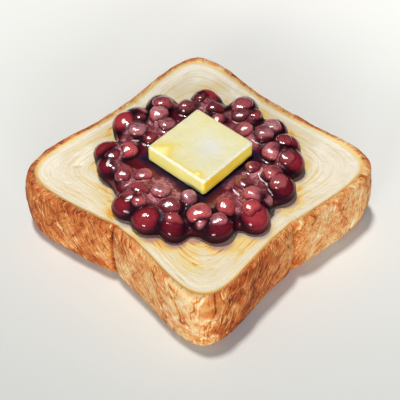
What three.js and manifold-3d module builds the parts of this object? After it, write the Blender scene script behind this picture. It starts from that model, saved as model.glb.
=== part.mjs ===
// A thick slice of toast that lies on its cut face, with a heap of sweet red beans on it and a pat of butter on the beans.
// Millimetres, +Z up. The origin is the middle of the slice's underside, and the slice's sides face along X and Y.

import * as THREE from "three";
import Module from "manifold-3d";
import { mergeVertices } from "three/addons/utils/BufferGeometryUtils.js";

const wasm = await Module();
wasm.setup();

const TURN = 2 * Math.PI;
const degrees = THREE.MathUtils.degToRad;

// Toast
const THICKNESS = 30; // up to the crust's rim
const HALF_WIDTH = 56.5; // along X, at the cut edge
const HALF_DEPTH = 57; // along Y, at the cut edge
const CORNER_POWER = 8; // the superellipse's power, so higher is squarer
const WALL_BULGE = 1.5; // how far the crust stands out half way up
const EDGE_RADIUS = 1.6; // where the crust turns over to the cut faces
const RIM_WIDTH = 3.5; // from the cut edge to the level crumb
const RIM_FLAT = 2.1; // from the cut edge to where the rim starts to fall
const CRUMB_DIP = 0.5; // the crumb's level below the rim
const RING_POINTS = 80; // round the slice, before the folds get their own
const CORNER_CROWDING = 0.6; // how much closer the points stand at the corners

// Every side draws in where the loaf's lobes meet, and two sides have a sharp fold there as well.
// A place and a width are tangents of the angle from the side's middle, as seen from the slice's centre.
const SIDES = [
  { facing: 0, waist: { depth: 5.6, place: -0.15, width: 0.72 }, fold: { depth: 2, place: 0.06, width: 0.04 } },
  { facing: 90, waist: { depth: 4, place: 0.04, width: 0.64 } },
  { facing: 180, waist: { depth: 4.2, place: -0.08, width: 0.69 } },
  { facing: 270, waist: { depth: 7.8, place: 0.12, width: 0.74 }, fold: { depth: 2, place: -0.045, width: 0.054 } },
];
const FOLD_POINTS = [-2.4, -1.3, -0.5, 0, 0.5, 1.3, 2.4]; // in fold widths from the fold's line
const INNER_FOLD = 0.3; // how much of a fold is left at the crumb

// Butter
const BUTTER_HALF = 15.6;
const BUTTER_HEIGHT = 7.6;
const BUTTER_CORNER = 1.3;
const BUTTER_BEVEL = 0.8;
const BUTTER_PLACE = { x: 0.2, y: 0.7, turn: degrees(1.5) };
const BUTTER_GAP = 0.8; // between the butter's sides and the beans

// Red beans
const CRUMB_LEVEL = THICKNESS - CRUMB_DIP;
const BED_HEIGHT = 6.5; // of the paste under the butter, above the crumb
const BED_RADIUS = 22.5; // past the butter's corners
const PASTE_RADIUS = 38.5;
const PASTE_FOOT = 1.6; // height of the paste's widest line
const BEAN_SEED = 20;
const BEAN_WIDTH = 0.87; // of its length
const BEAN_DEPTH = 0.78; // of its length
// Directions in degrees of the fat beans that make the heap's uneven outline.
const OUTER_BEANS = [21, 40, 58, 74, 102, 130, 158, 176, 190, 214, 232, 262, 282, 300, 323, 347];
// Rings of beans from the outside in. A lift is the height of the beans' middles above the crumb.
const BEAN_RINGS = [
  { at: OUTER_BEANS, radius: 37.8, spread: 0.6, length: 12.2, lift: 3.7 },
  { at: evenly(15), radius: 31, spread: 1.2, length: 9.8, lift: 6 },
  { at: evenly(8), radius: 35, spread: 0.8, length: 7.6, lift: 6.4 },
  { at: evenly(13), radius: 24.2, spread: 1.4, length: 8.2, lift: 6.2 },
];

const MATERIALS = {
  toast: new THREE.MeshStandardMaterial({ color: 0xd9a05a, roughness: 0.85, metalness: 0 }),
  beans: new THREE.MeshStandardMaterial({ color: 0x5c1a1f, roughness: 0.2, metalness: 0 }),
  butter: new THREE.MeshStandardMaterial({ color: 0xf3e38c, roughness: 0.4, metalness: 0 }),
};

// The same numbers between 0 and 1 at every build.
function seededRandom(seed) {
  let state = seed;
  return () => {
    state = (Math.imul(state, 1664525) + 1013904223) >>> 0;
    return state / 2 ** 32;
  };
}

// Directions in degrees that share out the whole turn.
function evenly(count) {
  return Array.from({ length: count }, (_, i) => (360 * i) / count);
}

// The angle from a side's middle, between -half a turn and half a turn.
function fromSide(angle, side) {
  const turned = angle - degrees(side.facing) + Math.PI;
  return turned - TURN * Math.floor(turned / TURN) - Math.PI;
}

// Distance from the slice's centre to its outline, taken in by inset, with a share of each fold.
function outlineRadius(angle, inset, foldShare) {
  const along = Math.abs(Math.cos(angle)) / (HALF_WIDTH - inset);
  const across = Math.abs(Math.sin(angle)) / (HALF_DEPTH - inset);
  let radius = (along ** CORNER_POWER + across ** CORNER_POWER) ** (-1 / CORNER_POWER);
  for (const side of SIDES) {
    const off = fromSide(angle, side);
    if (Math.abs(off) > 1.3) continue;
    const { waist, fold } = side;
    radius -= waist.depth * Math.exp(-(((Math.tan(off) - waist.place) / waist.width) ** 2));
    if (fold) radius -= foldShare * fold.depth * Math.exp(-Math.abs(Math.tan(off) - fold.place) / fold.width);
  }
  return radius;
}

// Angles round the outline, closer together at the corners and the folds.
function outlineAngles() {
  const angles = evenly(RING_POINTS).map((turn) => degrees(turn) + (CORNER_CROWDING / 4) * Math.sin(degrees(4 * turn)));
  for (const { facing, fold } of SIDES) {
    if (!fold) continue;
    for (const step of FOLD_POINTS) angles.push(degrees(facing) + Math.atan(fold.place + step * fold.width));
  }
  angles.sort((a, b) => a - b);
  return angles.filter((angle, i) => i === 0 || angle - angles[i - 1] > 0.004);
}

// How far the crust lies in from the cut edge at a height: rounded at both edges, and full in the middle.
function wallInset(z) {
  const fromEdge = Math.min(z, THICKNESS - z, EDGE_RADIUS);
  const short = EDGE_RADIUS - fromEdge;
  return EDGE_RADIUS - Math.sqrt(EDGE_RADIUS ** 2 - short ** 2) - WALL_BULGE * Math.sin((Math.PI * z) / THICKNESS);
}

// The slice's section as rows of inset, height and fold, from the underside round the crust to the crumb.
function toastRows() {
  const edge = [0, 0.15, 0.5, 1].map((share) => share * EDGE_RADIUS);
  const wall = [0.22, 0.4, 0.6, 0.78].map((share) => share * THICKNESS);
  const heights = [...edge, ...wall, ...edge.map((z) => THICKNESS - z).reverse()];
  const rows = heights.map((z) => ({ inset: wallInset(z), z, fold: 1 }));
  const fall = 3;
  for (let i = 0; i <= fall; i++) {
    const share = i / fall;
    rows.push({
      inset: THREE.MathUtils.lerp(RIM_FLAT, RIM_WIDTH, share),
      z: THICKNESS - CRUMB_DIP * THREE.MathUtils.smoothstep(share, 0, 1),
      fold: THREE.MathUtils.lerp(1, INNER_FOLD, share),
    });
  }
  return rows;
}

// A closed skin over rings that run anticlockwise, with a point in the middle of each end.
function loft(rings, bottom, top) {
  const count = rings[0].length;
  const points = [...rings.flat(), bottom, top];
  const [low, high] = [points.length - 2, points.length - 1];
  const faces = [];
  for (let i = 0; i < count; i++) {
    const next = (i + 1) % count;
    faces.push(low, next, i);
    for (let row = 0; row + 1 < rings.length; row++) {
      const [a, b] = [row * count + i, row * count + next];
      faces.push(a, b, b + count, a, b + count, a + count);
    }
    const last = (rings.length - 1) * count;
    faces.push(high, last + i, last + next);
  }
  return new THREE.BufferGeometry().setFromPoints(points).setIndex(faces);
}

function toastGeometry() {
  const angles = outlineAngles();
  const rings = toastRows().map(({ inset, z, fold }) =>
    angles.map((angle) => {
      const radius = outlineRadius(angle, inset, fold);
      return new THREE.Vector3(radius * Math.cos(angle), radius * Math.sin(angle), z);
    }),
  );
  return loft(rings, new THREE.Vector3(0, 0, 0), new THREE.Vector3(0, 0, CRUMB_LEVEL));
}

// A square with round corners, for the butter and the space that it needs.
function roundedSquare(half, corner) {
  const shape = new THREE.Shape();
  for (let i = 0; i < 4; i++) {
    const start = (i * Math.PI) / 2;
    const reach = (half - corner) * Math.SQRT2;
    const towards = start + Math.PI / 4;
    shape.absarc(reach * Math.cos(towards), reach * Math.sin(towards), corner, start, start + Math.PI / 2, false);
  }
  return shape;
}

function butterGeometry() {
  const geometry = new THREE.ExtrudeGeometry(roundedSquare(BUTTER_HALF - BUTTER_BEVEL, BUTTER_CORNER - BUTTER_BEVEL), {
    depth: BUTTER_HEIGHT - 2 * BUTTER_BEVEL,
    bevelThickness: BUTTER_BEVEL,
    bevelSize: BUTTER_BEVEL,
    bevelSegments: 3,
    curveSegments: 3,
  });
  return geometry.translate(0, 0, BUTTER_BEVEL);
}

// Where the butter stands: its own frame in the part's frame.
function placeButter(object) {
  object.position.set(BUTTER_PLACE.x, BUTTER_PLACE.y, CRUMB_LEVEL + BED_HEIGHT);
  object.rotation.z = BUTTER_PLACE.turn;
  return object;
}

// The butter's own space with a gap round it, from the bed upwards.
function butterSpace() {
  const half = BUTTER_HALF + BUTTER_GAP;
  const space = new THREE.BoxGeometry(2 * half, 2 * half, 2 * BUTTER_HEIGHT);
  return placeButter(new THREE.Mesh(space.translate(0, 0, BUTTER_HEIGHT)));
}

// True where a bean would stand in the butter's space.
function meetsButter(x, y, reach) {
  const local = new THREE.Vector2(x - BUTTER_PLACE.x, y - BUTTER_PLACE.y);
  local.rotateAround(new THREE.Vector2(), -BUTTER_PLACE.turn);
  return Math.max(Math.abs(local.x), Math.abs(local.y)) < BUTTER_HALF + BUTTER_GAP + reach;
}

// The beans as placed ellipsoids, ring by ring.
function beanMeshes() {
  const random = seededRandom(BEAN_SEED);
  const either = () => 2 * random() - 1;
  const round = new THREE.IcosahedronGeometry(0.5, 1);
  const beans = [];
  for (const ring of BEAN_RINGS) {
    for (const direction of ring.at) {
      const angle = degrees(direction + 3 * either());
      const radius = ring.radius + ring.spread * either();
      const length = ring.length * (1 + 0.12 * either());
      const lift = ring.lift + 0.5 * either();
      const [yaw, pitch] = [Math.PI * random(), 0.4 * either()];
      const [x, y] = [radius * Math.cos(angle), radius * Math.sin(angle)];
      if (meetsButter(x, y, 0.42 * length)) continue;
      const bean = new THREE.Mesh(round);
      bean.position.set(x, y, CRUMB_LEVEL + lift);
      bean.rotation.set(0, pitch, yaw, "ZYX");
      bean.scale.set(length, BEAN_WIDTH * length, BEAN_DEPTH * length);
      beans.push(bean);
    }
  }
  return beans;
}

// The mashed beans between the whole ones: a low mound with a level bed for the butter.
function pasteMesh() {
  const section = new THREE.SplineCurve([
    new THREE.Vector2(PASTE_RADIUS, PASTE_FOOT),
    new THREE.Vector2(PASTE_RADIUS - 1.2, 0.55 * BED_HEIGHT),
    new THREE.Vector2(0.5 * (PASTE_RADIUS + BED_RADIUS), BED_HEIGHT),
    new THREE.Vector2(BED_RADIUS, BED_HEIGHT),
  ]);
  const profile = [
    new THREE.Vector2(0, 0),
    new THREE.Vector2(PASTE_RADIUS - PASTE_FOOT, 0),
    ...section.getPoints(8),
    new THREE.Vector2(0, BED_HEIGHT),
  ];
  const mound = new THREE.LatheGeometry(profile, 48).rotateX(Math.PI / 2);
  return new THREE.Mesh(mound.translate(0, 0, CRUMB_LEVEL));
}

// A mesh as a manifold-3d solid in the part's frame.
function solidOf(mesh) {
  mesh.updateMatrixWorld(true);
  const bare = new THREE.BufferGeometry();
  bare.setAttribute("position", mesh.geometry.getAttribute("position").clone());
  bare.setIndex(mesh.geometry.index);
  const merged = mergeVertices(bare.applyMatrix4(mesh.matrixWorld), 1e-3);
  return new wasm.Manifold(
    new wasm.Mesh({
      numProp: 3,
      vertProperties: merged.getAttribute("position").array,
      triVerts: new Uint32Array(merged.index.array),
    }),
  );
}

function geometryOf(solid) {
  const { vertProperties, triVerts } = solid.getMesh();
  const geometry = new THREE.BufferGeometry();
  geometry.setAttribute("position", new THREE.BufferAttribute(vertProperties, 3));
  return geometry.setIndex(new THREE.BufferAttribute(triVerts, 1));
}

// Paste and beans as one heap, cut level where it lies on the crumb and clear of the butter.
// The largest piece is the whole outer skin, so small hollows shut in between beans are filled.
function beanHeapGeometry() {
  const span = 3 * PASTE_RADIUS;
  const belowCrumb = new THREE.Mesh(new THREE.BoxGeometry(span, span, span));
  belowCrumb.position.z = CRUMB_LEVEL - span / 2;
  let heap = solidOf(pasteMesh());
  for (const bean of beanMeshes()) heap = heap.add(solidOf(bean));
  const pieces = heap.subtract(solidOf(belowCrumb)).subtract(solidOf(butterSpace())).decompose();
  return geometryOf(pieces.reduce((best, piece) => (piece.volume() > best.volume() ? piece : best)));
}

function named(name, geometry, material) {
  const mesh = new THREE.Mesh(geometry, material);
  mesh.name = name;
  return mesh;
}

const toast = named("toast", toastGeometry(), MATERIALS.toast);
const beanHeap = named("bean_heap", beanHeapGeometry(), MATERIALS.beans);
const butter = placeButter(named("butter", butterGeometry(), MATERIALS.butter));

// The sides draw in unevenly, so everything moves a little to bring the middle of the slice's box to the origin.
const middle = new THREE.Box3().setFromObject(toast).getCenter(new THREE.Vector3());
const part = new THREE.Group().add(toast, beanHeap, butter);
for (const mesh of part.children) mesh.position.sub(middle.setZ(0));

export default part;
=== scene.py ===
"""Milk-bread toast with a heap of sweet red beans and a pat of butter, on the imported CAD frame.

Sizes below are in millimetres, as in the CAD part, and become metres where a mesh is made.
"""

import math

import bpy
import numpy as np
from mathutils import Matrix, Vector


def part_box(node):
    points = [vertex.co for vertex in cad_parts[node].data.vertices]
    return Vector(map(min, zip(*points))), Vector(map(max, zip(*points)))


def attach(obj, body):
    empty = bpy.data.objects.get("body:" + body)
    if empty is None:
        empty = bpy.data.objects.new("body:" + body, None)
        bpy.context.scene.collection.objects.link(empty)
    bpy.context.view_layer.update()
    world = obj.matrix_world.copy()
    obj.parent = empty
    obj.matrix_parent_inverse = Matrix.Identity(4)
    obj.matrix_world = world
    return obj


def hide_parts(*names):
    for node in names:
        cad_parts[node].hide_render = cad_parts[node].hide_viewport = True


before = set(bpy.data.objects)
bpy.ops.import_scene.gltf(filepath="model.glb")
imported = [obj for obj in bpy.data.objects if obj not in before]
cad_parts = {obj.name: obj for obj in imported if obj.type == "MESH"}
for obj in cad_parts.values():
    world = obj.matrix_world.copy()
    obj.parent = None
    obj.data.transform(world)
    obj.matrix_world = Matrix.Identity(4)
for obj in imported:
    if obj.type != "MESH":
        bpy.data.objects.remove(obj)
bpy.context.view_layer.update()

MM = 0.001
TURN = 2 * math.pi

# Heights that come from the CAD nodes' own boxes, in millimetres
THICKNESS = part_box("toast")[1][2] / MM
CRUMB_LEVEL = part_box("bean_heap")[0][2] / MM
BUTTER_LOW, BUTTER_TOP = (corner[2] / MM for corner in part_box("butter"))

# Camera: where it stands round what it looks at, and its lens on a sensor of the usual width
CAMERA_AZIMUTH = 43.3
CAMERA_ELEVATION = 47.8
CAMERA_DISTANCE = 435.5
CAMERA_TARGET = (3.8, -3.8, 15)
CAMERA_LENS = 91.2
SENSOR_WIDTH = 36

FLOOR_HALF = 3000

# Toast, with the CAD slice's dimensions
HALF_WIDTH = 56.5
HALF_DEPTH = 57
CORNER_POWER = 8  # how square the slice's rounded square is
WALL_BULGE = 1.5
EDGE_RADIUS = 1.6
RIM_WIDTH = 3.5
RIM_FLAT = 2.1
# Each side: the way it faces in degrees, then the depth, place and width of its waist and of its fold.
SIDES = (
    (0, (5.6, -0.15, 0.72), (2, 0.06, 0.04)),
    (90, (4, 0.04, 0.64), None),
    (180, (4.2, -0.08, 0.69), None),
    (270, (7.8, 0.12, 0.74), (2, -0.045, 0.054)),
)
SIDE_REACH = 1.3  # how far round from a side's middle its waist and fold reach, in radians
INNER_FOLD = 0.3  # share of each fold that the crumb's edge follows
FOLD_SHARPNESS = (0.25, 0, 0, 1)  # how strong each side's crease is
TOAST_POINTS = 640
MEAN_RADIUS = 66.8  # of a round slice with as long a crust
SLICE_REACH = 60  # how far in from its edge the slice's middle lies, about

# Butter
BUTTER_HALF = 15.6
BUTTER_CORNER = 1.3
BUTTER_BEVEL = 0.8
BUTTER_FOOT = 0.4  # radius of its lower edges
BUTTER_DISH = 0.25  # how far its top dips in the middle
BUTTER_PLACE = (0.2, 0.7)
BUTTER_TURN = math.radians(1.5)
BUTTER_GAP = 0.8  # how far beans keep away from it
BUTTER_POINTS = 320

# Red beans
BED_HEIGHT = BUTTER_LOW - CRUMB_LEVEL
PASTE_RADIUS = 38.5
PASTE_POINTS = 96
PASTE_VOXEL = 0.55  # size of the cells that join the lumps into one skin
BEAN_SEED = 20
BEAN_WIDTH = 0.87  # of a bean's length, as its depth is
BEAN_DEPTH = 0.78
OUTER_BEANS = (21, 40, 58, 74, 102, 130, 158, 176, 190, 214, 232, 262, 282, 300, 323, 347)
# Each ring: its beans' directions in degrees, their distance out, spread, length and lift above the crumb.
BEAN_RINGS = (
    (OUTER_BEANS, 37.8, 0.6, 12.2, 3.7),
    (np.arange(15) * 360 / 15, 31, 1.2, 9.8, 6),
    (np.arange(8) * 360 / 8, 35, 0.8, 7.6, 6.4),
    (np.arange(13) * 360 / 13, 24.2, 1.4, 8.2, 6.2),
)
COATED_BEANS = (130, 190, 214, 232, 282)  # outer beans with no skin showing through their syrup
SKIN_SIZE = 0.8  # of the skin that shows on an outer bean, next to the whole bean
SKIN_SHIFT = (1.4, 1.8)  # how far inwards and up that skin lies
SYRUP_DIP = 1.0  # how much shorter an inner bean's syrup is than the bean, so that its skin shows
WEB = 1.05  # how wide the syrup's webs between lumps are


# ---------------------------------------------------------------- helpers


def smoothstep(low, high, value):
    share = np.clip((value - low) / (high - low), 0, 1)
    return share * share * (3 - 2 * share)


def bell(value, centre, width):
    return np.exp(-(((value - centre) / width) ** 2))


def hashed(cells, seed):
    """A number from -1 to 1 for each row of whole numbers, the same at every run."""
    mixed = np.full(len(cells), 0x9E3779B97F4A7C15 + seed, dtype=np.uint64)
    for axis in range(cells.shape[1]):
        mixed = (mixed ^ cells[:, axis].astype(np.uint64)) * np.uint64(0xBF58476D1CE4E5B9)
        mixed ^= mixed >> np.uint64(29)
        mixed *= np.uint64(0x94D049BB133111EB)
        mixed ^= mixed >> np.uint64(32)
    return (mixed >> np.uint64(11)).astype(float) / 2**52 - 1


def noise(points, seed):
    """Smooth noise from -1 to 1 with one cell a unit."""
    cell = np.floor(points).astype(np.int64)
    share = points - cell
    share = share * share * (3 - 2 * share)
    total = np.zeros(len(points))
    for corner in range(2 ** points.shape[1]):
        step = np.array([(corner >> axis) & 1 for axis in range(points.shape[1])])
        weight = np.prod(np.where(step, share, 1 - share), axis=1)
        total += weight * hashed(cell + step, seed)
    return total


def grain(points, seed, octaves=2):
    """Noise with finer noise on it, from about -1 to 1."""
    shares = 0.55 ** np.arange(octaves)
    layers = [share * noise(points * 2**i, seed + i) for i, share in enumerate(shares)]
    return sum(layers) / shares.sum() * 1.4


def ring_skin(rows, count):
    """A closed skin's faces: quads between anticlockwise rings, and a cap on the first and last ring."""
    row, i = np.meshgrid(np.arange(rows - 1), np.arange(count), indexing="ij")
    following = (i + 1) % count
    quads = [row * count + i, row * count + following, (row + 1) * count + following, (row + 1) * count + i]
    caps = [list(range(count))[::-1], list(range((rows - 1) * count, rows * count))]
    return np.stack(quads, axis=-1).reshape(-1, 4).tolist() + caps


def linked(name, data):
    made = bpy.data.objects.new(name, data)
    bpy.context.scene.collection.objects.link(made)
    return made


def mesh_object(name, vertices, faces):
    """A smooth object in metres from vertices in millimetres."""
    mesh = bpy.data.meshes.new(name)
    mesh.from_pydata((np.asarray(vertices) * MM).tolist(), [], faces)
    mesh.shade_smooth()
    return linked(name, mesh)


def read_vertices(obj, field):
    """Each vertex's "co" or "normal"."""
    flat = np.empty(3 * len(obj.data.vertices))
    obj.data.vertices.foreach_get(field, flat)
    return flat.reshape(-1, 3)


def move_vertices(obj, vertices):
    obj.data.vertices.foreach_set("co", (vertices * MM).ravel())
    obj.data.update()


def set_values(obj, name, values):
    """A number, or a place, at each vertex for the material to read."""
    kind, field = ("FLOAT", "value") if values.ndim == 1 else ("FLOAT_VECTOR", "vector")
    layer = obj.data.attributes.new(name, kind, "POINT")
    layer.data.foreach_set(field, values.astype(np.float32).ravel())


def finished(piece, node, material):
    """Gives a piece its material, hangs it on the root body, and hides the CAD node it stands for."""
    piece.data.materials.append(material)
    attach(piece, "root")
    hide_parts(node)


# ---------------------------------------------------------------- materials


def shown(colour):
    """A colour as it looks on screen, turned into the linear values that nodes hold."""
    return (*[c / 12.92 if c <= 0.04045 else ((c + 0.055) / 1.055) ** 2.4 for c in colour], 1.0)


class Nodes:
    """A small builder for one material's nodes."""

    def __init__(self, name):
        self.material = bpy.data.materials.new(name)
        self.material.use_nodes = True
        self.tree = self.material.node_tree
        self.shader = self.tree.nodes["Principled BSDF"]

    def put(self, socket, value):
        if isinstance(value, bpy.types.NodeSocket):
            self.tree.links.new(value, socket)
        else:
            socket.default_value = value

    def node(self, kind, inputs=(), **settings):
        made = self.tree.nodes.new(kind)
        for key, value in settings.items():
            setattr(made, key, value)
        for key, value in dict(inputs).items():
            self.put(made.inputs[key], value)
        return made

    def set(self, **values):
        """Sets the shader's sockets, with underscores for the spaces in their names."""
        for key, value in values.items():
            self.put(self.shader.inputs[key.replace("_", " ")], value)

    def value(self, name):
        return self.node("ShaderNodeAttribute", attribute_name=name).outputs["Fac"]

    def place(self, name):
        return self.node("ShaderNodeAttribute", attribute_name=name).outputs["Vector"]

    def math(self, operation, a, b=0.0):
        return self.node("ShaderNodeMath", {0: a, 1: b}, operation=operation).outputs[0]

    def add(self, start, *parts):
        """The start plus each part, a value and what it is multiplied by."""
        for value, share in parts:
            inputs = {0: value, 1: share, 2: start}
            start = self.node("ShaderNodeMath", inputs, operation="MULTIPLY_ADD").outputs[0]
        return start

    def band(self, value, low, high, out_low=0.0, out_high=1.0):
        inputs = {0: value, 1: low, 2: high, 3: out_low, 4: out_high}
        return self.node("ShaderNodeMapRange", inputs, interpolation_type="SMOOTHSTEP").outputs[0]

    def noise(self, size, detail=3.0, where=None, warp=0.0):
        """Noise whose cells are size millimetres across, and whose middle is 0."""
        where = where or self.node("ShaderNodeTexCoord").outputs["Object"]
        inputs = {"Vector": where, "Scale": 1 / (size * MM), "Detail": detail, "Distortion": warp}
        return self.math("SUBTRACT", self.node("ShaderNodeTexNoise", inputs).outputs["Fac"], 0.5)

    def hairline(self, value, width):
        """1 where a value crosses 0, and 0 beyond a width on each side."""
        return self.band(self.math("ABSOLUTE", value), 0.0, width, 1.0, 0.0)

    def ramp(self, value, stops):
        made = self.node("ShaderNodeValToRGB", {"Fac": value})
        elements = made.color_ramp.elements
        while len(elements) < len(stops):
            elements.new(0.5)
        for element, (place, colour) in zip(elements, stops):
            element.position, element.color = place, shown(colour)
        return made.outputs["Color"]

    def mix(self, share, a, b):
        """A mix of two colours, each a socket or as it looks on screen."""
        a, b = (shown(c) if isinstance(c, tuple) else c for c in (a, b))
        return self.node("ShaderNodeMix", {0: share, 6: a, 7: b}, data_type="RGBA").outputs[2]

    def blend(self, share, a, b):
        """A mix of two numbers."""
        return self.node("ShaderNodeMix", {0: share, 2: a, 3: b}).outputs[0]

    def bump(self, height, distance, strength=1.0):
        inputs = {"Height": height, "Distance": distance * MM, "Strength": strength}
        return self.node("ShaderNodeBump", inputs).outputs["Normal"]


CRUST_STOPS = (
    (0.0, (0.89, 0.84, 0.71)),
    (0.25, (0.87, 0.76, 0.56)),
    (0.45, (0.83, 0.61, 0.36)),
    (0.62, (0.75, 0.44, 0.20)),
    (0.8, (0.62, 0.29, 0.11)),
    (1.0, (0.40, 0.15, 0.06)),
)
CRUMB_STOPS = (
    (0.0, (0.94, 0.905, 0.82)),
    (0.06, (0.90, 0.86, 0.77)),
    (0.3, (0.87, 0.805, 0.66)),
    (0.55, (0.89, 0.78, 0.48)),
    (0.78, (0.89, 0.66, 0.31)),
    (1.0, (0.78, 0.44, 0.16)),
)


def toast_material():
    m = Nodes("toasted_bread")
    mottle = m.noise(3.4, 5, warp=0.8)
    strokes = m.noise(1.7, 3, m.place("lean_own"), warp=0.4)
    dark_lines = m.hairline(m.noise(2.7, 1, m.place("lean_own"), warp=0.5), 0.03)
    cross_lines = m.hairline(m.noise(2.9, 1, m.place("lean_cross"), warp=0.5), 0.025)
    pale_lines = m.hairline(m.noise(3.1, 1, m.place("lean_own"), warp=0.8), 0.03)
    fine = m.noise(0.8, 3)
    tone = m.add(m.value("tone"), (mottle, 0.55), (strokes, 0.15), (fine, 0.15))
    tone = m.add(tone, (dark_lines, 0.3), (cross_lines, 0.2), (pale_lines, -0.28))
    crust = m.ramp(tone, CRUST_STOPS)
    crust = m.mix(m.band(m.noise(4, 3), 0.04, 0.14, 0.0, 0.45), crust, (0.80, 0.36, 0.15))

    threads = m.noise(1.0, 2, m.place("rings"))
    warmth = m.add(m.value("warmth"), (m.band(threads, 0.0, 0.16), m.value("lines")), (fine, 0.12))
    # A grey-mauve painted shadow of the heap on the crumb, to its front and right.
    crumb = m.mix(m.value("painted_heap_shadow"), m.ramp(warmth, CRUMB_STOPS), (0.63, 0.51, 0.53))
    m.set(Base_Color=m.mix(m.value("crust"), crumb, crust))
    m.set(Roughness=m.band(fine, -0.2, 0.2, 0.62, 0.88), Specular_IOR_Level=0.25)
    crumb_height = m.add(0.0, (fine, 0.5), (threads, 0.5))
    crust_height = m.add(0.0, (mottle, 0.8), (strokes, 0.5), (dark_lines, -0.2), (fine, 0.4))
    m.set(Normal=m.bump(m.blend(m.value("crust"), crumb_height, crust_height), 0.4, 0.6))
    return m.material


def bean_material():
    m = Nodes("red_beans")
    skin = m.noise(1.6, 4)
    veins = m.noise(1.1, 3, warp=1.2)
    red = m.ramp(m.value("red_with_painted_light"), (
        (0.0, (0.28, 0.07, 0.10)),
        (0.5, (0.50, 0.15, 0.18)),
        (1.0, (0.71, 0.235, 0.245)),
    ))
    # A pale painted sheen on each bean's top, and its pale seam.
    painted_sheen_and_seam = m.math("MULTIPLY", m.value("painted_sheen_and_seam"), m.band(veins, -0.15, 0.15, 0.5, 1.1))
    colour = m.mix(painted_sheen_and_seam, red, (0.77, 0.55, 0.57))
    colour = m.mix(m.band(skin, 0.02, 0.2, 0.0, 0.5), colour, (0.2, 0.04, 0.065))
    colour = m.mix(m.value("syrup"), colour, (0.31, 0.07, 0.11))
    m.set(Base_Color=colour, Roughness=m.band(skin, -0.2, 0.2, 0.1, 0.2), Specular_IOR_Level=0.6)
    m.set(Coat_Weight=0.6, Coat_Roughness=0.05)
    m.set(Normal=m.bump(veins, 0.15, 0.3))
    return m.material


def syrup_material():
    m = Nodes("bean_paste_and_syrup")
    streaks = m.noise(3.0, 4, warp=1.6)
    skin = m.noise(1.2, 3)
    # The red's dark end is painted shade in the creases and at the foot.
    red = m.ramp(m.add(m.value("red_with_painted_light"), (skin, 0.35)), (
        (0.0, (0.11, 0.035, 0.08)),
        (0.2, (0.19, 0.05, 0.09)),
        (0.45, (0.35, 0.08, 0.12)),
        (0.75, (0.48, 0.13, 0.165)),
        (1.0, (0.62, 0.21, 0.23)),
    ))
    mash = m.ramp(m.add(0.56, (streaks, 1.6)), (
        (0.0, (0.34, 0.10, 0.14)),
        (0.5, (0.54, 0.25, 0.29)),
        (0.75, (0.73, 0.47, 0.49)),
        (1.0, (0.86, 0.68, 0.68)),
    ))
    colour = m.mix(m.value("mash"), red, mash)
    # Beside the butter a dark violet painted shadow.
    m.set(Base_Color=m.mix(m.value("shadow"), colour, (0.115, 0.075, 0.17)))
    m.set(Roughness=m.add(0.4, (m.value("wet"), -0.27), (skin, 0.15)), Specular_IOR_Level=0.06)
    m.set(Coat_Weight=m.value("wet"), Coat_Roughness=0.05)
    m.set(Normal=m.bump(m.add(0.0, (streaks, m.value("mash")), (skin, 0.12)), 0.7, 0.6))
    return m.material


def butter_material():
    m = Nodes("butter")
    cloud = m.noise(9, 3)
    fine = m.noise(1.2, 3)
    # From 0.6 up the stops are the sides' colours, brighter than the top's as painted light; the deepest
    # gold is painted shade on the face towards +x.
    colour = m.ramp(m.add(m.value("gold_and_painted_light"), (cloud, 0.3)), (
        (0.0, (0.87, 0.86, 0.80)),
        (0.25, (0.885, 0.855, 0.66)),
        (0.45, (0.90, 0.81, 0.38)),
        (0.6, (1.0, 0.97, 0.66)),
        (0.8, (1.0, 0.93, 0.46)),
        (1.0, (1.0, 0.81, 0.17)),
    ))
    m.set(Base_Color=colour, Roughness=m.band(fine, -0.2, 0.2, 0.34, 0.5), Specular_IOR_Level=0.45)
    m.set(Subsurface_Weight=0.15, Subsurface_Radius=(1.0, 0.8, 0.4), Subsurface_Scale=1.5 * MM)
    m.set(Normal=m.bump(fine, 0.12, 0.35))
    return m.material


# ---------------------------------------------------------------- toast


def from_facing(angle, facing):
    """How far round from a side's middle a direction lies, from -pi to pi."""
    return (angle - math.radians(facing) + math.pi) % TURN - math.pi


def outline_radius(angle, inset, fold_share):
    """Distance from the slice's centre to its outline, taken in by inset, with a share of each fold."""
    along = np.abs(np.cos(angle)) / (HALF_WIDTH - inset)
    across = np.abs(np.sin(angle)) / (HALF_DEPTH - inset)
    radius = (along**CORNER_POWER + across**CORNER_POWER) ** (-1 / CORNER_POWER)
    for facing, waist, fold in SIDES:
        off = from_facing(angle, facing)
        place = np.tan(np.clip(off, -SIDE_REACH, SIDE_REACH))
        near = np.abs(off) < SIDE_REACH
        radius = radius - near * waist[0] * bell(place, waist[1], waist[2])
        if fold:
            radius = radius - near * fold_share * fold[0] * np.exp(-np.abs(place - fold[1]) / fold[2])
    return radius


def outline_middle():
    """What the CAD part moves everything by, so that the slice's box stands on the origin."""
    angle = np.linspace(0, TURN, 4000)
    radius = outline_radius(angle, -WALL_BULGE, 1)
    x, y = radius * np.cos(angle), radius * np.sin(angle)
    return np.array([(x.max() + x.min()) / 2, (y.max() + y.min()) / 2])


MIDDLE = outline_middle()


def toast_angles():
    """Directions round the slice: closer together at the corners, and close at the two folds."""
    even = np.arange(TOAST_POINTS * 8) * TURN / (TOAST_POINTS * 8)
    density = 1 + 0.9 * (0.5 - 0.5 * np.cos(4 * even)) ** 2
    for facing, _, fold in SIDES:
        if fold:
            density += 2.2 * bell(from_facing(even, facing), math.atan(fold[1]), 0.09)
    walked = np.cumsum(density) / density.sum()
    return np.interp((np.arange(TOAST_POINTS) + 0.5) / TOAST_POINTS, walked, even)


def wall_inset(z):
    """How far the crust lies in from the cut edge at a height."""
    short = EDGE_RADIUS - np.minimum(np.minimum(z, THICKNESS - z), EDGE_RADIUS)
    return EDGE_RADIUS - np.sqrt(EDGE_RADIUS**2 - short**2) - WALL_BULGE * np.sin(math.pi * z / THICKNESS)


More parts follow.
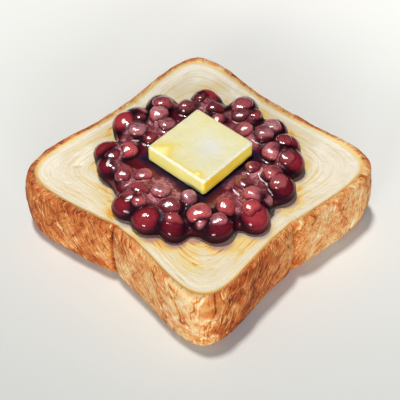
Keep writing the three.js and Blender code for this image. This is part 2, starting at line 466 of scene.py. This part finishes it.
def toast_rows():
    """Rows of inset, height, fold share, scale and face, from the underside's middle to the crumb's.

    The face is -1 on the underside, 0 on the crust's wall, and 1 on the rim and crumb.
    """
    rows = [(RIM_WIDTH, 0, INNER_FOLD, scale, -1) for scale in (0.02, 0.4, 0.7, 0.85, 0.93, 0.97)]
    for share in np.linspace(0, 1, 5)[:-1]:
        rows.append((RIM_WIDTH * (1 - share), 0, INNER_FOLD + (1 - INNER_FOLD) * share, 1, -1))
    edge = EDGE_RADIUS * (1 - np.cos(np.linspace(0.1, 1, 6) * math.pi / 2))
    wall = np.linspace(EDGE_RADIUS, THICKNESS - EDGE_RADIUS, 46)[1:-1]
    rows += [(wall_inset(z), z, 1, 1, 0) for z in [*edge, *wall, *(THICKNESS - edge)[::-1]]]
    for share in np.linspace(0, 1, 10)[1:]:
        rim = EDGE_RADIUS + (RIM_WIDTH - EDGE_RADIUS) * share
        fall = smoothstep(RIM_FLAT, RIM_WIDTH, rim)
        rows.append((rim, THICKNESS - (THICKNESS - CRUMB_LEVEL) * fall, 1 - (1 - INNER_FOLD) * share, 1, 1))
    scales = [*np.linspace(1, 0.5, 52)[1:], 0.3, 0.02]
    rows += [(RIM_WIDTH, CRUMB_LEVEL, INNER_FOLD, scale, 1) for scale in scales]
    return np.array(rows)


def heap_distance(points, beans):
    """How far points on the crumb lie outside the heap's edge, in millimetres."""
    nearest = np.hypot(points[:, 0] + MIDDLE[0], points[:, 1] + MIDDLE[1]) - PASTE_RADIUS
    for bean in beans:
        away = np.hypot(points[:, 0] - bean["at"][0], points[:, 1] - bean["at"][1])
        nearest = np.minimum(nearest, away - 0.45 * bean["length"])
    return nearest


def baked(angle):
    """How brown the crust is, from 0, cream, to 1, dark: it bakes unevenly round the slice."""
    turn = np.degrees(angle) % 360
    around = 0.58 + 0.12 * bell(turn, 228, 26)  # the left lobe
    around -= 0.13 * bell(turn, 285, 16)  # past the fold, towards the front corner
    around -= 0.27 * bell(turn, 310, 9)  # the pale side of the front corner
    around += 0.21 * bell(turn, 333, 15)  # the dark side of the front corner
    around -= 0.18 * bell(turn, 27, 17)  # the right lobe
    around -= 0.12 * bell(turn, 133, 45)  # the back corner
    return around


def fold_line(angle, width):
    """Up to 1 on the line of a fold, for the sharpest, and falling to 0 over a width in tangents."""
    line = np.zeros_like(angle)
    for (facing, _, fold), sharpness in zip(SIDES, FOLD_SHARPNESS):
        off = from_facing(angle, facing)
        if fold:
            line += sharpness * (np.abs(off) < 1) * bell(np.tan(np.clip(off, -1, 1)), fold[1], width)
    return line


def crust_relief(points, turn):
    """Soft dents, fine grain and a crease at the folds."""
    return 0.5 * grain(points / 11, 3) + 0.16 * grain(points / 2.5, 21) - 0.7 * fold_line(turn, 0.014)


def crust_tone(points, turn, wall):
    """How brown each point of the crust is: darker in the creases as painted shade, and along the top of
    the wall.
    """
    tone = baked(turn) + 0.17 * grain(points / 6, 81)
    return tone + wall * (0.35 * fold_line(turn, 0.018) + 0.06 * bell(points[:, 2], THICKNESS - 1, 1.3))


def crumb_pits(around, inward):
    """How deep the crumb's cells are, drawn out round the slice, with a few holes."""
    cells = grain(np.column_stack([around / 3.4, inward / 0.95]), 31)
    holes = noise(np.column_stack([around / 5, inward / 2.2]), 41)
    return 0.2 * smoothstep(0.2, 0.9, cells) + 0.35 * smoothstep(0.66, 0.95, holes)


def crumb_warmth(points, turn, inward, outside):
    """How warm the crumb's colour is, and how strong its lines are: most near the heap and in front."""
    # The front is warmer; the back keeps the palest crumb, partly as painted light making up for the heap's
    # shade there.
    front = smoothstep(-0.6, 0.9, np.cos(turn - math.radians(318)))
    near_heap = bell(outside, 0, 14) * smoothstep(4, 10, inward)
    toasted = near_heap * np.clip(0.4 + 0.8 * grain(points / 10, 101) + 0.05 * front, 0, 1)
    soaked = bell(outside, 2, 1.8) * np.clip(0.5 + 0.8 * grain(points / 7, 91), 0, 1)
    rim = bell(inward, RIM_WIDTH - 0.5, 0.8)
    warmth = 0.12 * front + 0.5 * toasted + (0.27 + 0.27 * front) * soaked + (0.55 + 0.2 * front) * rim
    return warmth, 0.14 + 0.3 * near_heap


def leaning(turn, climb, way):
    """A place for streaks on the crust that lean as they climb, drawn out along their lean."""
    swing = turn + way * climb / MEAN_RADIUS
    return np.column_stack([MEAN_RADIUS * np.cos(swing), MEAN_RADIUS * np.sin(swing), climb / 5])


def toast_relief(points, turn, face, crumb, pits):
    """How far out each point moves, on the crumb and on the crust. The underside stays flat."""
    relief = crumb * (0.12 * grain(points / 7, 61) - pits)
    relief += (1 - crumb) * crust_relief(points, turn) * np.where(face == 0, 1, 0.6)
    return relief * smoothstep(0, 2, points[:, 2]) * (face >= 0)


def toast(beans):
    angle, rows = toast_angles(), toast_rows()
    inset, z, fold, scale, face = (np.repeat(column, len(angle)) for column in rows.T)
    turn = np.tile(angle, len(rows))
    radius = outline_radius(turn, inset, fold) * scale
    points = np.stack([radius * np.cos(turn) - MIDDLE[0], radius * np.sin(turn) - MIDDLE[1], z], 1)
    made = mesh_object("toast_slice", points, ring_skin(len(rows), len(angle)))

    # Where each point is: on the wall or not, in from the cut edge, round the slice, and along the rings.
    wall = face == 0
    inward = np.where(wall, 0, inset + (1 - scale) * SLICE_REACH)
    around = np.stack([np.cos(turn), np.sin(turn)], 1) * MEAN_RADIUS
    ringed = inward + 1.6 * noise(np.column_stack([around / 16, inward / 9]), 51)
    crumb = ~wall * smoothstep(RIM_FLAT, RIM_WIDTH - 0.4, inward)

    pits = crumb_pits(around, ringed)
    relief = toast_relief(points, turn, face, crumb, pits)
    move_vertices(made, points + read_vertices(made, "normal") * relief[:, None])

    outside = heap_distance(points, beans)
    outside[face < 0] = np.inf  # no syrup or butter reaches the underside
    warmth, lines = crumb_warmth(points, turn, inward, outside)
    heap_shadow_footprint = heap_distance(points + np.array([-2.6, 1.2, 0]), beans)  # painted shadow of the heap: its footprint moved to the front and right
    lean = -0.75 * np.cos(2 * turn)
    set_values(made, "crust", 1 - crumb)
    set_values(made, "tone", crust_tone(points, turn, wall))
    # Deeper pits are warmer and darker: painted shade in the crumb's holes.
    set_values(made, "warmth", warmth + 0.25 * smoothstep(0.1, 0.4, pits))
    set_values(made, "lines", lines)
    set_values(made, "painted_heap_shadow", 0.75 * smoothstep(1.2, -1.2, heap_shadow_footprint) * (face > 0))
    set_values(made, "rings", np.column_stack([around / 16, ringed * 1.1]) * MM)
    set_values(made, "lean_own", leaning(turn, z + inward, lean) * MM)
    set_values(made, "lean_cross", leaning(turn, z + inward, -lean) * MM)
    finished(made, "toast", toast_material())


# ---------------------------------------------------------------- red beans


def seeded_random(seed):
    """The CAD part's own numbers between 0 and 1, so that the beans lie where its lumps are."""
    state = seed
    while True:
        state = (state * 1664525 + 1013904223) % 2**32
        yield state / 2**32


def meets_butter(x, y, reach):
    """True where a bean would stand in the butter's space."""
    dx, dy = x - BUTTER_PLACE[0], y - BUTTER_PLACE[1]
    cos, sin = math.cos(-BUTTER_TURN), math.sin(-BUTTER_TURN)
    return max(abs(dx * cos - dy * sin), abs(dx * sin + dy * cos)) < BUTTER_HALF + BUTTER_GAP + reach


def place_beans():
    """The CAD part's beans, ring by ring: middle, length, turn and half sizes of each."""
    numbers = seeded_random(BEAN_SEED)
    beans = []
    for ring, (directions, out, spread, size, rise) in enumerate(BEAN_RINGS):
        for direction in directions:
            share = [next(numbers) for _ in range(6)]
            either = [2 * value - 1 for value in share]
            angle = math.radians(direction + 3 * either[0])
            radius = out + spread * either[1]
            length = size * (1 + 0.12 * either[2])
            x, y = radius * math.cos(angle), radius * math.sin(angle)
            if meets_butter(x, y, 0.42 * length):
                continue
            turn = Matrix.Rotation(math.pi * share[4], 3, "Z") @ Matrix.Rotation(0.4 * either[5], 3, "Y")
            beans.append({
                "outer": ring == 0,
                "coated": ring == 0 and direction in COATED_BEANS,
                "at": np.array([x - MIDDLE[0], y - MIDDLE[1], CRUMB_LEVEL + rise + 0.5 * either[3]]),
                "length": length,
                "turn": np.array(turn),
            })
    return beans


def half_sizes(length):
    return 0.5 * length * np.array([1, BEAN_WIDTH, BEAN_DEPTH])


def globe(around, up):
    """A unit ball of rings from its lower pole to its upper one, with its faces."""
    tilt = np.linspace(0.03, 0.985, up) * math.pi
    angle = np.arange(around) * TURN / around
    tilt, angle = (grid.ravel() for grid in np.meshgrid(tilt, angle, indexing="ij"))
    points = np.stack([np.sin(tilt) * np.cos(angle), np.sin(tilt) * np.sin(angle), -np.cos(tilt)], 1)
    return points, ring_skin(up, around)


def bean_shape(ball, rng):
    """One cooked bean of length 1 along X: blunt ends, a dented seam on one side, and a loose skin."""
    blunt = (np.abs(ball) ** 2.5).sum(axis=1) ** (-1 / 2.5)
    seam = bell(ball[:, 0], 0.05, 0.45) * bell(ball[:, 2], 0.1, 0.16) * (ball[:, 1] > 0)
    sag = 0.05 * noise(ball * 1.3 + rng.uniform(0, 50, 3), 5)
    skin = 0.01 * noise(ball * np.array([2.2, 6, 6]) + rng.uniform(0, 50, 3), 6)
    return ball * (blunt * (1 + sag + skin - 0.07 * seam))[:, None] * half_sizes(1), seam


def red_beans(beans):
    """The skins that show, with each bean's own red, a pale painted sheen on top and a pale seam, and the
    syrup round its foot.
    """
    rng = np.random.default_rng(7)
    ball, ball_faces = globe(30, 20)
    parts, faces, red_with_painted_light, painted_sheen_and_seam, syrup = [], [], [], [], []
    for bean in beans:
        if bean["coated"]:
            continue
        middle, length = bean["at"], bean["length"]
        if bean["outer"]:
            inwards = -middle[:2] / np.linalg.norm(middle[:2])
            middle = middle + np.array([*inwards * SKIN_SHIFT[0], SKIN_SHIFT[1]])
            length *= SKIN_SIZE
        shape, seam = bean_shape(ball, rng)
        points = shape * length @ bean["turn"].T + middle
        faces += [[corner + len(parts) * len(ball) for corner in face] for face in ball_faces]
        parts.append(points)
        up = (points[:, 2] - middle[2]) / (0.5 * BEAN_DEPTH * length)
        patch = noise(ball * 1.6 + rng.uniform(0, 50, 3), 8)
        # Each bean's own red, painted redder on top and darker below.
        red_with_painted_light.append(rng.uniform(0.2, 1.0) + 0.15 * patch + 0.25 * (up - 0.4))
        # How strong each bean's pale painted sheen is.
        paleness = 0.1 + 0.9 * rng.uniform() ** 1.6
        painted_sheen_and_seam.append(np.clip(paleness * smoothstep(0.1, 0.95, up + 0.3 * patch) + 0.3 * seam, 0, 1))
        syrup.append(smoothstep(0.55, 0.0, run_together(points, beans)[0]))
    made = mesh_object("red_beans", np.vstack(parts), faces)
    set_values(made, "red_with_painted_light", np.concatenate(red_with_painted_light))
    set_values(made, "painted_sheen_and_seam", np.concatenate(painted_sheen_and_seam))
    set_values(made, "syrup", np.concatenate(syrup))
    finished(made, "bean_heap", bean_material())


def bean_nearness(points, bean):
    """Distance of points outside a bean's syrup, about, and the way out of it."""
    half = half_sizes(bean["length"] - (0 if bean["outer"] else SYRUP_DIP))
    local = (points - bean["at"]) @ bean["turn"] / half
    size = np.linalg.norm(local, axis=1)
    return (size - 1) * half.mean(), (local / half) @ bean["turn"].T * (half.mean() / size)[:, None]


def mound_nearness(points):
    """The same for the flat mound of paste that the beans lie in."""
    x, y = points[:, 0] + MIDDLE[0], points[:, 1] + MIDDLE[1]
    radius = np.maximum(np.hypot(x, y), 1e-6)
    out, up = radius / (PASTE_RADIUS - 1), np.abs(points[:, 2] - CRUMB_LEVEL) / BED_HEIGHT + 1e-6
    size = (out**4 + up**4) ** 0.25
    slope_out = (out / size) ** 3 / (PASTE_RADIUS - 1) * BED_HEIGHT
    slope_up = (up / size) ** 3
    return (size - 1) * BED_HEIGHT, np.stack([slope_out * x / radius, slope_out * y / radius, slope_up], 1)


def run_together(points, beans):
    """Beans and mound as one wet body: distance outside it, the way out, and each lump's share."""
    lumps = [bean_nearness(points, bean) for bean in beans] + [mound_nearness(points)]
    pull = np.exp(-np.clip(np.stack([distance for distance, _ in lumps]), -12, 12) / WEB)
    share = pull / pull.sum(axis=0)
    slope = sum(part[:, None] * way for part, (_, way) in zip(share, lumps))
    return -WEB * np.log(pull.sum(axis=0)), slope, share


def rough_paste(beans):
    """The mound and the beans' syrup as rough lumps, joined into one closed skin."""
    ball, ball_faces = globe(20, 12)
    around = np.arange(PASTE_POINTS) * TURN / PASTE_POINTS
    profile = ((PASTE_RADIUS - 1, -1), (PASTE_RADIUS - 1, 0.6 * BED_HEIGHT), (PASTE_RADIUS - 5, BED_HEIGHT))
    circle = np.stack([np.cos(around), np.sin(around), 0 * around], 1)
    rings = [circle * radius + np.array([0, 0, height]) for radius, height in profile]
    parts = [np.vstack(rings) + np.array([-MIDDLE[0], -MIDDLE[1], CRUMB_LEVEL])]
    faces = ring_skin(len(profile), len(around))
    start = len(parts[0])
    for bean in beans:
        parts.append(ball * half_sizes(bean["length"]) @ bean["turn"].T + bean["at"])
        faces += [[corner + start for corner in face] for face in ball_faces]
        start += len(ball)
    rough = mesh_object("paste_rough", np.vstack(parts), faces)
    remesh = rough.modifiers.new("join", "REMESH")
    remesh.mode, remesh.voxel_size = "VOXEL", PASTE_VOXEL * MM
    settle = rough.modifiers.new("settle", "SMOOTH")
    settle.factor, settle.iterations = 0.5, 12
    mesh = bpy.data.meshes.new_from_object(rough.evaluated_get(bpy.context.evaluated_depsgraph_get()))
    bpy.data.objects.remove(rough)
    mesh.shade_smooth()
    return linked("bean_paste", mesh)


def paste_and_syrup(beans):
    """The wet body that the beans lie in, drawn from the rough lumps to its true skin."""
    made = rough_paste(beans)
    at = read_vertices(made, "co") / MM
    for _ in range(5):
        distance, slope, share = run_together(at, beans)
        step = distance[:, None] * slope / (slope**2).sum(axis=1)[:, None]
        at -= step * np.minimum(1, 0.8 / np.maximum(np.linalg.norm(step, axis=1), 1e-9))[:, None]
    mash = smoothstep(-0.25, 0.25, grain(at / 9, 131)) * smoothstep(37, 33, np.hypot(at[:, 0], at[:, 1]))
    at += slope * (0.3 * mash * grain(at / 3.2, 121, 3))[:, None]
    from_butter = np.abs(at[:, :2] + MIDDLE - np.array(BUTTER_PLACE)).max(axis=1) - BUTTER_HALF
    ceiling = BUTTER_LOW - 0.05 + 5 * smoothstep(0.5, 5, from_butter) - 0.4 * (1 + grain(at / 2.6, 151))
    at[:, 2] = np.clip(at[:, 2], CRUMB_LEVEL - 0.4, ceiling)
    move_vertices(made, at)

    # Each lump has its own red, with painted shade: darkest in the creases, at the foot and where it faces
    # down. By the butter the paste gets a painted shadow.
    reds = np.random.default_rng(11).uniform(0.39, 1.06, len(share))[share.argmax(axis=0)]
    alone = share.max(axis=0)
    up = read_vertices(made, "normal")[:, 2]
    high = smoothstep(0.3, 3.5, at[:, 2] - CRUMB_LEVEL)
    shade = smoothstep(0.4, 0.9, alone) * (0.6 + 0.4 * smoothstep(-0.2, 0.7, up)) * (0.35 + 0.65 * high)
    set_values(made, "red_with_painted_light", reds * shade)
    set_values(made, "mash", mash * high)
    set_values(made, "shadow", 0.95 * smoothstep(5, 1.5, from_butter))
    wet = smoothstep(0.4, 0.85, alone) * smoothstep(0.05, 0.5, up) * smoothstep(3, 6, from_butter)
    set_values(made, "wet", wet)
    finished(made, "bean_heap", syrup_material())


# ---------------------------------------------------------------- butter


def square_ring(half, corner, z, angle):
    """A square with round corners, as points at even directions."""
    reach = half / np.maximum(np.abs(np.cos(angle)), np.abs(np.sin(angle)))
    flat = np.stack([np.cos(angle), np.sin(angle)], 1) * reach[:, None]
    core = np.clip(flat, corner - half, half - corner)
    away = flat - core
    far = np.maximum(np.linalg.norm(away, axis=1), 1e-9)
    return np.column_stack([core + away * (np.minimum(far, corner) / far)[:, None], np.full(len(angle), z)])


def butter_rows(top):
    """Rows of inset and height, from the underside's middle to the top's."""
    rows = [(BUTTER_HALF * share, 0.0) for share in (0.95, 0.6, 0.2)]
    foot = np.linspace(0, math.pi / 2, 4)
    rows += [(BUTTER_FOOT * (1 - math.sin(t)), BUTTER_FOOT * (1 - math.cos(t))) for t in foot]
    rows += [(0.0, z) for z in np.linspace(0.6, top - BUTTER_BEVEL - 0.15, 16)]
    bevel = np.linspace(0, 0.96, 6)
    rows += [(BUTTER_BEVEL * (0.04 + 0.96 * t), top - BUTTER_BEVEL * (1 - t)) for t in bevel]
    rows += [(BUTTER_BEVEL + 0.2, top)]
    return rows + [(BUTTER_HALF * share, top) for share in np.linspace(0.1, 0.97, 40)]


def butter_gold_and_painted_light(points, normal, top):
    """How gold each point is, with painted light: up to 0.6 on top, almost 0 on the bevels as a pale
    painted highlight, and over 0.65 on the sides.
    """
    x, y, z = points.T
    on_top = z >= top - 0.01
    on_bevel = (z > top - BUTTER_BEVEL - 0.1) & ~on_top
    top_gold = 0.26 - 0.24 * bell(np.hypot(x - 4, y - 1), 0, 8)
    top_gold += 0.24 * bell(np.hypot(x + 9, y + 12), 0, 5) + 0.12 * bell(y, -15, 2.5)
    top_gold += 0.2 * bell(np.hypot(x - 10.5, y + 13), 0, 1.6)
    # The sides' brighter stops stand in for light they lack, and the deeper gold on the face towards +x is
    # painted shade.
    side_painted_light = 0.68 + 0.27 * smoothstep(0.3, 0.9, normal[:, 0]) + 0.1 * smoothstep(4, -14, x)
    return np.where(on_top, top_gold, np.where(on_bevel, 0.05, side_painted_light))


def butter():
    """A cut pat: sides a little wavy, narrow bevels round the top, and its top softly dished."""
    angle = (np.arange(BUTTER_POINTS) + 0.5) * TURN / BUTTER_POINTS
    top = BUTTER_TOP - BUTTER_LOW
    rows = butter_rows(top)
    rings = [
        square_ring(BUTTER_HALF - inset, max(BUTTER_CORNER * (1 - inset / BUTTER_HALF), 0.05), z, angle)
        for inset, z in rows
    ]
    points = np.vstack(rings)
    made = mesh_object("butter_pat", points, ring_skin(len(rows), len(angle)))
    normal = read_vertices(made, "normal")
    set_values(made, "gold_and_painted_light", butter_gold_and_painted_light(points, normal, top))

    x, y, z = points.T
    relief = 0.14 * grain(points / 9, 141) + 0.05 * grain(points / 2.2, 151)
    relief -= BUTTER_DISH * (z >= top - 0.01) * bell(np.hypot(x, y), 0, 9)
    points = points + normal * (relief * smoothstep(0.2, 1.5, z))[:, None]
    cos, sin = math.cos(BUTTER_TURN), math.sin(BUTTER_TURN)
    turned = points @ np.array([[cos, sin, 0], [-sin, cos, 0], [0, 0, 1]])
    move_vertices(made, turned + np.array([*(np.array(BUTTER_PLACE) - MIDDLE), BUTTER_LOW]))
    finished(made, "butter", butter_material())


# ---------------------------------------------------------------- stage


def camera():
    data = bpy.data.cameras.new("camera")
    data.lens, data.sensor_width = CAMERA_LENS, SENSOR_WIDTH
    data.clip_start, data.clip_end = 0.02, 10
    made = linked("camera", data)
    azimuth, elevation = math.radians(CAMERA_AZIMUTH), math.radians(CAMERA_ELEVATION)
    back = Vector((
        math.sin(azimuth) * math.cos(elevation),
        -math.cos(azimuth) * math.cos(elevation),
        math.sin(elevation),
    ))
    made.location = (Vector(CAMERA_TARGET) + back * CAMERA_DISTANCE) * MM
    made.rotation_mode = "QUATERNION"
    made.rotation_quaternion = (-back).to_track_quat("-Z", "Y")
    bpy.context.scene.camera = made


def area_light(name, direction, distance, size, power, colour):
    """A soft light that looks at the slice from a direction, in metres and watts."""
    data = bpy.data.lights.new(name, "AREA")
    data.shape, data.energy, data.color = "ELLIPSE", power, colour
    data.size, data.size_y = size
    made = linked(name, data)
    towards = Vector(direction).normalized()
    made.location = towards * distance
    made.rotation_mode = "QUATERNION"
    made.rotation_quaternion = towards.to_track_quat("Z", "Y")
    return made


def paper_material():
    """A pale floor, a little darker in front as painted shade."""
    m = Nodes("paper")
    where = m.node("ShaderNodeSeparateXYZ", {0: m.node("ShaderNodeTexCoord").outputs["Object"]})
    along = m.add(where.outputs["Y"], (where.outputs["X"], -0.5))
    slope = m.node("ShaderNodeMapRange", {0: along, 1: -0.16, 2: 0.2}).outputs[0]
    m.set(Base_Color=m.mix(slope, (0.775, 0.785, 0.77), (0.968, 0.965, 0.942)))
    m.set(Roughness=0.9, Specular_IOR_Level=0.1)
    m.set(Normal=m.bump(m.noise(1.4, 3), 0.1, 0.25))
    return m.material


def studio():
    corners = np.array([[-1, -1, 0], [1, -1, 0], [1, 1, 0], [-1, 1, 0]])
    floor = mesh_object("floor", corners * FLOOR_HALF, [[0, 1, 2, 3]])
    floor.data.materials.append(paper_material())
    world = bpy.data.worlds.new("world")
    world.use_nodes = True
    background = world.node_tree.nodes["Background"]
    background.inputs["Color"].default_value = (0.58, 0.7, 1.0, 1.0)
    background.inputs["Strength"].default_value = 0.16
    world.cycles_visibility.glossy = False
    bpy.context.scene.world = world
    # A small key for the tight shadow, a low fill for the sides, and two windows for the wet gloss.
    area_light("key", (-0.16, 0.01, 1.0), 1.8, (0.2, 0.2), 25, (1.0, 0.975, 0.93))
    fill = area_light("fill", (0.78, -0.62, 0.21), 6.0, (4.5, 1.7), 285, (0.97, 0.985, 1.0))
    fill.visible_glossy = False
    area_light("low_window", (0.25, -0.88, 0.32), 3.0, (0.94, 0.68), 27, (1.0, 0.985, 0.97))
    window = area_light("window", (-0.45, -0.1, 1.0), 0.8, (0.36, 0.26), 4.0, (1.0, 1.0, 1.0))
    window.visible_diffuse = False
    bpy.context.scene.view_settings.view_transform = "Standard"


camera()
studio()
BEANS = place_beans()
toast(BEANS)
paste_and_syrup(BEANS)
red_beans(BEANS)
butter()
